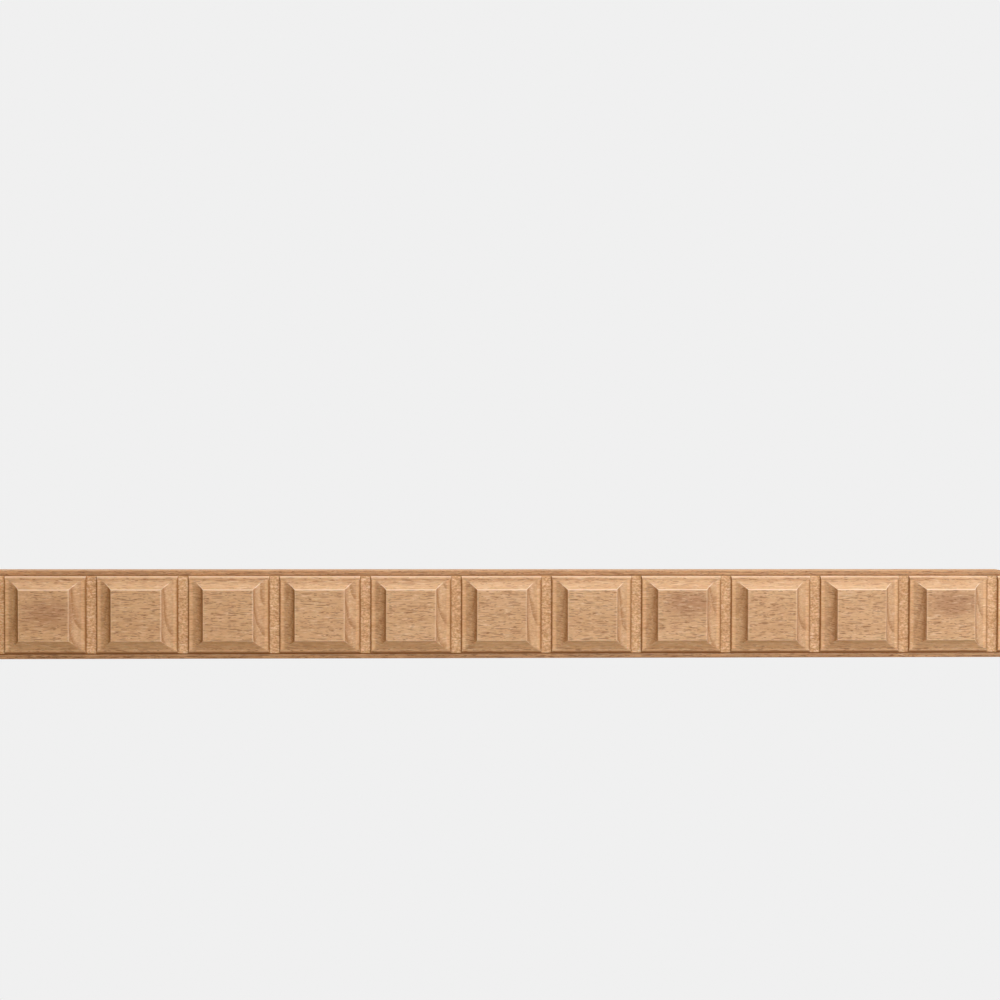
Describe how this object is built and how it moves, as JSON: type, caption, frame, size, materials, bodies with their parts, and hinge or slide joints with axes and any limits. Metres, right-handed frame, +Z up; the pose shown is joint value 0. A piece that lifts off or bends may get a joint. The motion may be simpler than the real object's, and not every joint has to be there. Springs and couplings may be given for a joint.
{
  "type": "wooden wall moulding",
  "caption": "Narrow beech wall moulding: raised square blocks with bevelled and coved sides in a row between plain rails, parted by shallow grooves.",
  "frame": {"origin": "centre of the flat back, which lies against the wall", "axes": "+X along the length, +Z up across the width, -Y out of the wall through the carved side, +Y into the wall"},
  "size_m": [0.3454, 0.012, 0.03],
  "materials": {
    "beech": "raw, planed and machine-cut, matt"
  },
  "bodies": {
    "root": {"moulding": "beech"}
  },
  "joints": []
}
